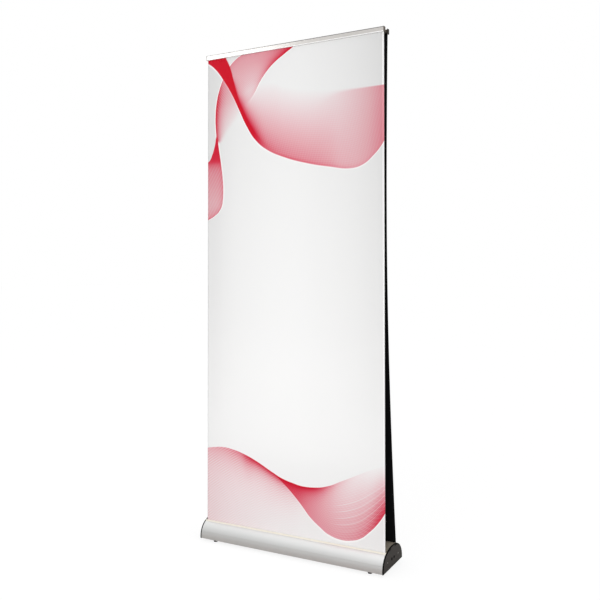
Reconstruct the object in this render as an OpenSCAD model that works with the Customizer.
// Double-sided roll-up banner stand, standing on its levelling feet.
// X runs along the base, -Y is the front, Z is up. The origin is on the floor, under the pole.

/* [Banner] */
// Width of each banner
banner_w = 850; // [600:10:1200]
// Height of each banner from the mouth of its slot to its rail
banner_h = 2056; // [1700:2:2200]
// Thickness of the banner film
film_t = 0.4; // [0.3:0.1:0.5]
// Distance from the middle of the stand to each banner at its slot
slot_y = 58; // [57:0.5:59]
// Distance from the middle of the stand to each banner at its rail
rail_y = 20; // [19:0.5:21]

/* [Base] */
// Height of the lower edge of the covers above the floor
base_z = 12; // [11.5:0.5:13]
// Height of the ridge of the deck above the floor
deck_z = 92.4; // [92:0.2:93]
// Radius of the covers' outer face
cover_r = 66.2; // [65.8:0.2:66.8]
// Wall of the cover extrusions
cover_wall = 1.8; // [1.4:0.1:2.2]
// Thickness of the end caps
cap_t = 5; // [4.6:0.2:6]

/* [Rollers] */
// Height of the rollers' axles
roller_z = 45; // [43:0.5:47]
// Outer radius of the roller tubes
roller_r = 15.5; // [14.5:0.5:15.5]
// Wall of the roller tubes
roller_wall = 1.2; // [1:0.1:1.6]
// Radius over the film that stays wound on a roller
wound_r = 16.4; // [16.2:0.1:16.8]
// Radius of the axle pins
pin_r = 4; // [3:0.5:5]

/* [Pole] */
// Outer radii of the lower, middle and top tubes
pole_r = [12.5, 11, 9.5];
// Wall of the pole's tubes
pole_wall = 1.2; // [1:0.1:1.2]
// Length of tube that stays inside the next one
pole_overlap = 60; // [50:5:90]

/* [Rails] */
// Height of the top rails
rail_h = 20; // [20:0.5:24]
// Radius of the hinge bead along each snap jaw
bead_r = 1.92; // [1.9:0.01:1.94]

/* [Feet] */
// Distance from the middle of the stand to the feet, along the base
foot_x = 368; // [300:2:400]
// Distance from the middle of the stand to the feet, across the base
foot_y = 78; // [74:1:82]
// Radius of the foot pads
foot_r = 9; // [8:0.5:10]
// Radius of the foot studs
stud_r = 4; // [3:0.5:4]

/* [Hidden] */
$fn = 72;
touch = 0.3;          // gap between pieces that pass each other
run = 0.05;           // radial gap of a running fit
cut = 1;              // how far a cutting shape stands past what it cuts

// Base
base_half = banner_w / 2 + 4;                // half length of the extrusions
cover_y = 35.2;                              // middle of the cover's arc, across the base
cover_z = 19.9;                              // middle of the cover's arc, above the floor
deck_r = 193;                                // radius of the deck's gentle crown
deck_half = slot_y - 4;                      // edge of the deck, beside the slot
deck_wall = 2.4;
lip_y = slot_y + 4;                          // edge of the cover, beside the slot
slot_z = 82;                                 // height of the slot's mouth
bead_z = cover_z + sqrt(pow(cover_r - 1, 2) - pow(lip_y + 0.8 - cover_y, 2));  // the bead along the cover's lip
tray_half = 96.5;
tray_z = base_z + 1.4;                       // underside of the tray's floor
tray_wall = 2.5;
leg_y = 12;                                  // the deck's legs, across the base
port_z = 44;                                 // the screw ports in those legs
plate_x = base_half - 1.7;                   // inner face of the bearing plates
plate_t = 1.6;
outer_screw_y = 57;                          // the screws that hold the bearing plates

// Film
lean = atan((slot_y - rail_y) / banner_h);   // each banner leans in towards its rail
rail_z = slot_z + banner_h;
film_top = rail_z + 11.5;
function film_y(z) = slot_y - (z - slot_z) * tan(lean);

// Rollers
roller_y = film_y(roller_z) - (wound_r + touch + film_t / 2) / cos(lean);
tube_half = banner_w / 2 + 0.5;
plug_l = 20;
plug_flange = 0.8;
shaft_end = -60;                             // inner end of the spring's fixed shaft
spring_r = 11.5;
spring_wire = 2.4;

// Pole
pole_z = 20;
head_z = rail_z - 10;
section_l = (head_z - pole_z + 2 * pole_overlap) / 3;
middle_z = pole_z + section_l - pole_overlap;
top_z = middle_z + section_l - pole_overlap;
bush_l = 12;
socket_r = 15;
socket_top = 72;
collar_down = 25;                            // length of a lock collar on its own tube
collar_up = 15;                              // and on the tube that slides in it

// Rails
rail_half = banner_w / 2 + 1;
hinge_z = rail_z + rail_h - 3.8;
rail_back = rail_y - 8;
rail_face = rail_y + 8;
clamp_y = rail_y - 0.8;                      // the face that the film is pressed against
grip_y = rail_y + 0.55;                      // the face that presses it
wall = 1.5;

// Feet
insert_r = 6;
pad_h = 6;
wheel_h = 3;

// Extrudes a cross-section, drawn with Y across and Z up, from x0 to x1.
module along_x(x0, x1) {
    translate([x0, 0, 0])
        rotate([90, 0, 90])
            linear_extrude(x1 - x0)
                children();
}

// Draws a piece of the rear side as it is, or mirrored to the front.
module side(front) {
    if (front)
        mirror([0, 1, 0])
            children();
    else
        children();
}

// A ring or, with no bore, a disc along X.
module ring_x(x0, x1, r, bore = 0) {
    along_x(x0, x1)
        difference() {
            circle(r);
            if (bore > 0)
                circle(bore);
        }
}

// A tube standing on z0.
module tube_z(z0, z1, r, bore) {
    translate([0, 0, z0])
        difference() {
            cylinder(h = z1 - z0, r = r);
            translate([0, 0, -cut])
                cylinder(h = z1 - z0 + 2 * cut, r = bore);
        }
}

module round_rect(size, r) {
    translate([r, 0])
        square([size[0] - 2 * r, size[1]]);
    translate([0, r])
        square([size[0], size[1] - 2 * r]);
    for (y = [r, size[0] - r], z = [r, size[1] - r])
        translate([y, z])
            circle(r);
}

// ---- Base ----

// Cross-section of the closed base: two round covers with the crowned deck between them.
module base_outline(grow) {
    intersection() {
        union() {
            for (s = [-1, 1])
                translate([s * cover_y, cover_z])
                    circle(cover_r + grow);
            intersection() {
                translate([0, deck_z - deck_r])
                    circle(deck_r + grow);
                translate([-deck_half - grow, 0])
                    square([2 * (deck_half + grow), 2 * deck_z]);
            }
        }
        translate([-2 * deck_z, base_z - grow])
            square([4 * deck_z, deck_z]);
    }
}

module base_tray() {
    color("dimgray")
        difference() {
            along_x(-base_half, base_half) {
                translate([-tray_half, tray_z])
                    square([2 * tray_half, tray_wall]);
                for (s = [-1, 1]) {
                    translate([s * (tray_half - 1) - 1, tray_z])
                        square([2, 20]);
                    for (y = [leg_y - 3.2, leg_y + 1.2])
                        translate([s * (y + 1) - 1, tray_z])
                            square([2, tray_wall + 4]);
                }
            }
            for (x = [-foot_x, foot_x], y = [-foot_y, foot_y])
                translate([x, y, 0])
                    cylinder(h = 40, r = insert_r + run);
            for (x = [-18.5, 18.5])
                translate([x, 0, 0])
                    cylinder(h = 40, r = 1.8 + run);
            translate([0, 0, tray_z + tray_wall])
                cylinder(h = 20, r = 23);
        }
}

// The rear cover: a round shell with a rolled lip at the slot and a flange under the tray.
module cover() {
    color("silver")
        along_x(-base_half, base_half) {
            difference() {
                intersection() {
                    translate([cover_y, cover_z])
                        circle(cover_r);
                    translate([lip_y, base_z])
                        square([60, 90]);
                }
                translate([cover_y, cover_z])
                    circle(cover_r - cover_wall);
            }
            translate([lip_y + 0.8, bead_z])
                circle(1.6);
            translate([90, base_z])
                square([9.5, 1.2]);
            translate([93, cover_z + 22])
                square([4.5, 1.4]);
        }
}

module front_cover() {
    side(true)
        cover();
}

module rear_cover() {
    side(false)
        cover();
}

module top_deck() {
    color("gray")
        difference() {
            along_x(-base_half, base_half) {
                intersection() {
                    translate([0, deck_z - deck_r])
                        difference() {
                            circle(deck_r);
                            circle(deck_r - deck_wall);
                        }
                    translate([-deck_half, 0])
                        square([2 * deck_half, 2 * deck_z]);
                }
                for (s = [-1, 1]) {
                    translate([s * (deck_half - 0.9) - 0.9, 76])
                        square([1.8, 7.6]);
                    difference() {
                        union() {
                            translate([s * leg_y - 1, tray_z + tray_wall])
                                square([2, deck_z - tray_z - tray_wall - 2]);
                            translate([s * leg_y, port_z])
                                circle(4.4);
                        }
                        translate([s * leg_y, port_z])
                            circle(2);
                    }
                }
            }
            translate([0, 0, 75])
                cylinder(h = 40, r = socket_r + 0.4);
            translate([0, 0, 91.4])
                cylinder(h = 40, r = 19.3);
            translate([-24, -18, 0])
                cube([48, 36, 75]);
            for (s = [-1, 1])
                translate([s * (base_half - 1) - 1, -20, 0])
                    cube([2, 40, 74]);
        }
}

// The rear wiper strip: a blade beside the film, and a flange over the cover's lip.
module wiper_strip() {
    color("blanchedalmond")
        along_x(-base_half, base_half) {
            translate([lip_y - 2.2, 73])
                round_rect([1.4, 9.3], 0.6);
            difference() {
                intersection() {
                    translate([cover_y, cover_z])
                        circle(cover_r + 1.5);
                    translate([lip_y - 1.5, cover_z])
                        square([7.5, 80]);
                }
                translate([cover_y, cover_z])
                    circle(cover_r + touch);
                translate([lip_y + 0.8, bead_z])
                    circle(1.6 + touch);
            }
        }
}

module front_wiper_strip() {
    side(true)
        wiper_strip();
}

module rear_wiper_strip() {
    side(false)
        wiper_strip();
}

// The right end cap: an outer plate with a stepped rim, and a skirt inside each cover.
module end_cap() {
    color([0.27, 0.26, 0.24])
        difference() {
            union() {
                along_x(base_half, base_half + cap_t - 1.2)
                    base_outline(0.8);
                along_x(base_half, base_half + cap_t)
                    base_outline(-0.6);
                along_x(base_half - 8, base_half)
                    for (s = [-1, 1])
                        intersection() {
                            difference() {
                                base_outline(-cover_wall - 0.4);
                                base_outline(-cover_wall - 2.4);
                            }
                            translate([s * 82.5 - 14.5, 44])
                                square([29, 60]);
                        }
            }
            for (s = [-1, 1]) {
                translate([base_half, s * slot_y - 3, slot_z - 3.5])
                    cube([2 * cap_t, 6, 20]);
                translate([base_half - cut, s * leg_y, port_z])
                    rotate([0, 90, 0])
                        cylinder(h = 20, r = 2.2);
                translate([base_half + 2.2, s * leg_y, port_z])
                    rotate([0, 90, 0])
                        cylinder(h = 20, r = 5.6);
                translate([base_half - cut, s * outer_screw_y, port_z])
                    rotate([0, 90, 0])
                        cylinder(h = 20, r = 1.9);
                translate([base_half + 3.4, s * outer_screw_y, port_z])
                    rotate([0, 90, 0])
                        cylinder(h = 20, r = 3.7);
                translate([base_half - cut, s * roller_y, roller_z])
                    rotate([0, 90, 0])
                        cylinder(h = cut + 2, r = pin_r + run);
            }
        }
}

module left_end_cap() {
    mirror([1, 0, 0])
        end_cap();
}

module right_end_cap() {
    end_cap();
}

module bearing_plate() {
    color("lightsteelblue")
        difference() {
            along_x(plate_x, plate_x + plate_t)
                intersection() {
                    base_outline(-cover_wall - 2.8);
                    translate([-80, tray_z + 7])
                        square([160, 51]);
                }
            for (s = [-1, 1]) {
                translate([plate_x - cut, s * roller_y, roller_z])
                    rotate([0, 90, 0])
                        cylinder(h = 10, r = pin_r + run);
                translate([plate_x - cut, s * leg_y, port_z])
                    rotate([0, 90, 0])
                        cylinder(h = 10, r = 2.2);
                translate([plate_x - cut, s * outer_screw_y, port_z])
                    rotate([0, 90, 0])
                        cylinder(h = 10, r = 1.6);
            }
        }
}

module left_bearing_plate() {
    mirror([1, 0, 0])
        bearing_plate();
}

module right_bearing_plate() {
    bearing_plate();
}

// One screw along X, whose head's outer face is at x.
module screw_x(x, l, r, head_r, head_h) {
    difference() {
        union() {
            ring_x(x - head_h, x, head_r);
            ring_x(x - l, x - head_h, r);
        }
        for (turn = [0, 90])
            translate([x, 0, 0])
                rotate([turn, 0, 0])
                    cube([1.6, 0.9, 1.5 * head_r], center = true);
    }
}

// The four screws that draw the end caps against the deck's ports.
module cap_port_screws() {
    color("black")
        for (end = [0, 1], s = [-1, 1])
            mirror([end, 0, 0])
                translate([0, s * leg_y, port_z])
                    screw_x(base_half + 3.8, 15, 1.9, 5.4, 1.6);
}

// The four screws that hold the bearing plates on the end caps.
module cap_plate_screws() {
    color("gray")
        for (end = [0, 1], s = [-1, 1])
            mirror([end, 0, 0])
                translate([0, s * outer_screw_y, port_z])
                    screw_x(base_half + cap_t - 0.2, 6.5, 1.5, 3.5, 1.3);
}

module pole_socket() {
    color("black")
        difference() {
            union() {
                translate([0, 0, tray_z + tray_wall])
                    cylinder(h = 3, r = 22.5);
                translate([0, 0, tray_z + tray_wall])
                    cylinder(h = socket_top - tray_z - tray_wall, r = socket_r);
            }
            translate([0, 0, pole_z - 3.5])
                cylinder(h = 80, r = pole_r[0] + run);
            for (x = [-18.5, 18.5])
                translate([x, 0, 0])
                    cylinder(h = 40, r = 1.9);
        }
}

module socket_screws() {
    color("silver")
        for (x = [-18.5, 18.5])
            translate([x, 0, tray_z])
                difference() {
                    union() {
                        cylinder(h = tray_wall + 3, r = 1.8);
                        translate([0, 0, tray_wall + 3])
                            cylinder(h = 2, r = 3.2);
                    }
                    for (turn = [0, 90])
                        rotate([0, 0, turn])
                            translate([-2.2, -0.4, tray_wall + 4])
                                cube([4.4, 0.8, 2]);
                }
}

module pole_grommet() {
    color("black")
        difference() {
            union() {
                translate([0, 0, 91.4])
                    cylinder(h = 2.4, r = 19);
                translate([0, 0, 84])
                    cylinder(h = 8, r = socket_r + 0.2);
            }
            cylinder(h = 200, r = pole_r[0] + touch);
        }
}

module foot_inserts() {
    color("goldenrod")
        for (x = [-foot_x, foot_x], y = [-foot_y, foot_y])
            translate([x, y, 0])
                difference() {
                    union() {
                        translate([0, 0, tray_z])
                            cylinder(h = 14, r = insert_r);
                        translate([0, 0, tray_z - 2.2])
                            cylinder(h = 2.2, r = foot_r);
                    }
                    cylinder(h = 60, r = stud_r + run);
                }
}

// ---- Rollers, drawn for the rear ----

// Places a roller's piece on the axle of the front or rear roller.
module on_axle(front) {
    side(front)
        translate([0, roller_y, roller_z])
            children();
}

module idle_pin() {
    color("silver")
        ring_x(-base_half - 1.6, -tube_half + plug_l - 2, pin_r);
}

module front_idle_pin() {
    on_axle(true)
        idle_pin();
}

module rear_idle_pin() {
    on_axle(false)
        idle_pin();
}

// The fixed shaft that holds one end of the spring, with a head at its inner end.
module spring_shaft() {
    color("silver") {
        ring_x(shaft_end, base_half + 1.6, pin_r);
        ring_x(shaft_end - 8, shaft_end, spring_r - 0.5);
    }
}

module front_spring_shaft() {
    on_axle(true)
        spring_shaft();
}

module rear_spring_shaft() {
    on_axle(false)
        spring_shaft();
}

// The close-wound torsion spring: one ridge for each group of turns.
module torsion_spring() {
    spring_l = tube_half - plug_l - 1 - shaft_end;
    ridges = 60;
    pitch = spring_l / ridges;
    profile = [for (i = [0 : 2 * ridges])
        [spring_r - (i % 2 == 0 ? 0.7 : 0), shaft_end + i * pitch / 2]];
    color("slategray")
        rotate([0, 90, 0])
            rotate_extrude()
                polygon(concat([[spring_r - spring_wire, shaft_end]], profile,
                               [[spring_r - spring_wire, shaft_end + spring_l]]));
}

module front_torsion_spring() {
    on_axle(true)
        torsion_spring();
}

module rear_torsion_spring() {
    on_axle(false)
        torsion_spring();
}

// The tube, with the shallow keyway that holds the film's fixing tape.
module roller_tube() {
    color("lightgray")
        difference() {
            ring_x(-tube_half, tube_half, roller_r, roller_r - roller_wall);
            translate([-tube_half - cut, -2, roller_r - 0.5])
                cube([2 * tube_half + 2 * cut, 4, 3]);
        }
}

module front_roller_tube() {
    on_axle(true)
        roller_tube();
}

module rear_roller_tube() {
    on_axle(false)
        roller_tube();
}

// The plug at the right end of a roller, turning on the fixed pin or shaft.
module end_plug() {
    color("darkslategray")
        difference() {
            union() {
                ring_x(tube_half, tube_half + plug_flange, roller_r);
                ring_x(tube_half - plug_l, tube_half, roller_r - roller_wall - run);
            }
            ring_x(tube_half - plug_l - cut, tube_half + 2, pin_r + run);
        }
}

module front_idle_plug() {
    on_axle(true)
        mirror([1, 0, 0])
            end_plug();
}

module rear_idle_plug() {
    on_axle(false)
        mirror([1, 0, 0])
            end_plug();
}

module front_spring_plug() {
    on_axle(true)
        end_plug();
}

module rear_spring_plug() {
    on_axle(false)
        end_plug();
}

module film_roll() {
    color("white")
        ring_x(-banner_w / 2, banner_w / 2, wound_r, roller_r + run);
}

module front_film_roll() {
    on_axle(true)
        film_roll();
}

module rear_film_roll() {
    on_axle(false)
        film_roll();
}

// ---- Banners ----

// The stretch of film from the roller through the slot into the rail's clamp.
module banner() {
    color("white")
        translate([0, film_y(roller_z), roller_z])
            rotate([lean, 0, 0])
                translate([-banner_w / 2, -film_t / 2, 0])
                    cube([banner_w, film_t, (film_top - roller_z) / cos(lean)]);
}

module front_banner() {
    side(true)
        banner();
}

module rear_banner() {
    side(false)
        banner();
}

// ---- Pole ----

module pole_foot_plug() {
    color("black") {
        translate([0, 0, pole_z - 3])
            cylinder(h = 3, r = pole_r[0] - run);
        translate([0, 0, pole_z])
            cylinder(h = 20, r = pole_r[0] - pole_wall - run);
    }
}

module pole_lower_tube() {
    color("silver")
        tube_z(pole_z, pole_z + section_l, pole_r[0], pole_r[0] - pole_wall);
}

module pole_middle_tube() {
    color("silver")
        tube_z(middle_z + bush_l, middle_z + section_l, pole_r[1], pole_r[1] - pole_wall);
}

module pole_top_tube() {
    color("silver")
        tube_z(top_z + bush_l, head_z, pole_r[2], pole_r[2] - pole_wall);
}

// The guide bush in the lower end of a sliding tube, running in the tube outside it.
module guide_bush(z, outer_r, inner_r) {
    color("black") {
        translate([0, 0, z])
            cylinder(h = bush_l, r = outer_r - pole_wall - run);
        translate([0, 0, z + bush_l])
            cylinder(h = bush_l, r = inner_r - pole_wall - run);
    }
}

module pole_middle_bush() {
    guide_bush(middle_z, pole_r[0], pole_r[1]);
}

module pole_top_bush() {
    guide_bush(top_z, pole_r[1], pole_r[2]);
}

// A twist collar that grips the sliding tube where it leaves the tube outside it.
module lock_collar(z, outer_r, inner_r) {
    grip_r = outer_r + 4.5;
    ribs = 16;
    color("black")
        difference() {
            union() {
                translate([0, 0, z - collar_down])
                    cylinder(h = collar_down + 5, r = grip_r);
                translate([0, 0, z + 5])
                    cylinder(h = collar_up - 5, r = outer_r + 1.5);
            }
            translate([0, 0, z - collar_down - cut])
                cylinder(h = collar_down + cut + touch, r = outer_r + run);
            cylinder(h = 3 * z, r = inner_r + 2 * run);
            for (i = [0 : ribs - 1])
                rotate([0, 0, i * 360 / ribs])
                    translate([grip_r + 0.6, 0, z - collar_down + 3])
                        cylinder(h = collar_down - 1, r = 1.4);
        }
}

module lower_lock_collar() {
    lock_collar(pole_z + section_l, pole_r[0], pole_r[1]);
}

module upper_lock_collar() {
    lock_collar(middle_z + section_l, pole_r[1], pole_r[2]);
}

// The head in the top of the pole, with a finger up into each rail's hanger.
module pole_head() {
    color("black") {
        translate([0, 0, head_z - 22])
            cylinder(h = 22, r = pole_r[2] - pole_wall - run);
        translate([0, 0, head_z])
            cylinder(h = 4, r = pole_r[2] + 1);
        translate([-11, -10.2, head_z + 2])
            cube([22, 20.4, 4]);
        for (s = [-1, 1])
            translate([-10, s * 9.2 - 1, head_z + 2])
                cube([20, 2, rail_z - head_z + 9]);
    }
}

// ---- Rails, drawn for the rear ----

// The fixed half of a rail: a box, the clamping wall, and the open barrel of the hinge.
module rail_2d() {
    top = hinge_z - 1.2;
    translate([rail_back, rail_z + 2])
        square([wall, top - rail_z - 2]);
    translate([rail_back, rail_z + 2])
        square([clamp_y - rail_back, wall]);
    translate([rail_back, top - 2])
        square([5.5, 2]);
    translate([clamp_y - wall, rail_z])
        square([wall, top - rail_z - 1]);
    difference() {
        translate([rail_y, hinge_z])
            circle(3.4);
        translate([rail_y, hinge_z])
            circle(bead_r + 0.08);
        translate([rail_y, hinge_z])
            polygon([[0, 0], [8 * cos(-25), 8 * sin(-25)], [8, 0], [8, 8], [8 * cos(85), 8 * sin(85)]]);
    }
}

module rail() {
    color("silver")
        along_x(-rail_half, rail_half)
            rail_2d();
}

module front_rail() {
    side(true)
        rail();
}

module rear_rail() {
    side(false)
        rail();
}

// The jaw: a bead that turns in the barrel, the face, and the tab that holds the grip strip.
module jaw() {
    face_top = rail_z + rail_h;
    color("gainsboro")
        along_x(-rail_half + 0.4, rail_half - 0.4) {
            translate([rail_y, hinge_z])
                circle(bead_r);
            translate([rail_y, hinge_z - 0.6])
                square([rail_face - rail_y - 1, 1.2]);
            translate([rail_face - wall, rail_z + 0.8])
                square([wall, face_top - rail_z - 1.6]);
            translate([rail_face - wall / 2, rail_z + 0.8])
                circle(wall / 2);
            translate([rail_face - wall / 2, face_top - 0.8])
                circle(wall / 2);
            translate([grip_y + 1.4, rail_z + 0.6])
                square([rail_face - wall / 2 - grip_y - 1.4, 1.2]);
            translate([grip_y + 1.4, rail_z + 0.6])
                square([1.2, 6.4]);
        }
}

module front_rail_jaw() {
    side(true)
        jaw();
}

module rear_rail_jaw() {
    side(false)
        jaw();
}

module grip_strip() {
    color("dimgray")
        along_x(-rail_half + 1, rail_half - 1)
            translate([grip_y, rail_z + 0.8])
                square([1.4, 5.6]);
}

module front_grip_strip() {
    side(true)
        grip_strip();
}

module rear_grip_strip() {
    side(false)
        grip_strip();
}

// The two end caps of a rail, each with a spigot in the rail's box.
module rail_end_caps() {
    color([0.3, 0.27, 0.25])
        for (end = [0, 1])
            mirror([end, 0, 0]) {
                along_x(rail_half, rail_half + 2)
                    translate([rail_back - 0.4, rail_z - 0.4])
                        round_rect([rail_face - rail_back + 0.8, rail_h + 0.8], 2);
                along_x(rail_half - 12, rail_half)
                    translate([rail_back + wall + 0.2, rail_z + 3.7])
                        square([clamp_y - rail_back - 2 * wall - 0.4, 6.6]);
            }
}

module front_rail_end_caps() {
    side(true)
        rail_end_caps();
}

module rear_rail_end_caps() {
    side(false)
        rail_end_caps();
}

// The block behind the middle of a rail, with a slot for the pole head's finger.
module rail_hanger() {
    color("black")
        difference() {
            translate([-14, rail_back - 5.8, rail_z + 2.5])
                cube([28, 5.8, 12]);
            translate([-10.4, 7.9, rail_z])
                cube([20.8, 2.6, 12]);
        }
}

module front_rail_hanger() {
    side(true)
        rail_hanger();
}

module rear_rail_hanger() {
    side(false)
        rail_hanger();
}

// ---- Feet ----

// The pad stays still on the floor while the stud turns in it.
module foot_pad(sx, sy) {
    color("black")
        translate([sx * foot_x, sy * foot_y, 0])
            difference() {
                union() {
                    cylinder(h = 1.5, r = foot_r);
                    translate([0, 0, 1.5])
                        cylinder(h = pad_h - 1.5, r1 = foot_r, r2 = foot_r - 1.5);
                }
                translate([0, 0, 2.2])
                    cylinder(h = pad_h, r = stud_r - 1 + run);
            }
}

module front_left_foot_pad() {
    foot_pad(-1, -1);
}

module front_right_foot_pad() {
    foot_pad(1, -1);
}

module rear_left_foot_pad() {
    foot_pad(-1, 1);
}

module rear_right_foot_pad() {
    foot_pad(1, 1);
}

// The stud: a journal in the pad, a knurled wheel and the screw.
module foot_stud(sx, sy) {
    wheel_r = foot_r - 1;
    notches = 12;
    color("gray")
        translate([sx * foot_x, sy * foot_y, 0])
            difference() {
                union() {
                    translate([0, 0, 2.2 + touch])
                        cylinder(h = pad_h, r = stud_r - 1);
                    translate([0, 0, pad_h + touch])
                        cylinder(h = wheel_h, r = wheel_r);
                    translate([0, 0, pad_h + touch])
                        cylinder(h = 24, r = stud_r);
                }
                for (i = [0 : notches - 1])
                    rotate([0, 0, i * 360 / notches])
                        translate([wheel_r + 0.5, 0, pad_h])
                            cylinder(h = wheel_h + cut, r = 1.1);
            }
}

module front_left_foot_stud() {
    foot_stud(-1, -1);
}

module front_right_foot_stud() {
    foot_stud(1, -1);
}

module rear_left_foot_stud() {
    foot_stud(-1, 1);
}

module rear_right_foot_stud() {
    foot_stud(1, 1);
}

base_tray();
front_cover();
rear_cover();
top_deck();
front_wiper_strip();
rear_wiper_strip();
left_end_cap();
right_end_cap();
left_bearing_plate();
right_bearing_plate();
cap_port_screws();
cap_plate_screws();
pole_socket();
socket_screws();
pole_grommet();
foot_inserts();
front_idle_pin();
rear_idle_pin();
front_spring_shaft();
rear_spring_shaft();
front_torsion_spring();
rear_torsion_spring();
front_banner();
rear_banner();
pole_foot_plug();
pole_lower_tube();
front_roller_tube();
front_idle_plug();
front_spring_plug();
front_film_roll();
rear_roller_tube();
rear_idle_plug();
rear_spring_plug();
rear_film_roll();
pole_middle_tube();
pole_middle_bush();
pole_top_tube();
pole_top_bush();
pole_head();
front_rail();
rear_rail();
front_rail_end_caps();
rear_rail_end_caps();
front_rail_hanger();
rear_rail_hanger();
front_rail_jaw();
rear_rail_jaw();
front_grip_strip();
rear_grip_strip();
lower_lock_collar();
upper_lock_collar();
front_left_foot_pad();
front_right_foot_pad();
rear_left_foot_pad();
rear_right_foot_pad();
front_left_foot_stud();
front_right_foot_stud();
rear_left_foot_stud();
rear_right_foot_stud();
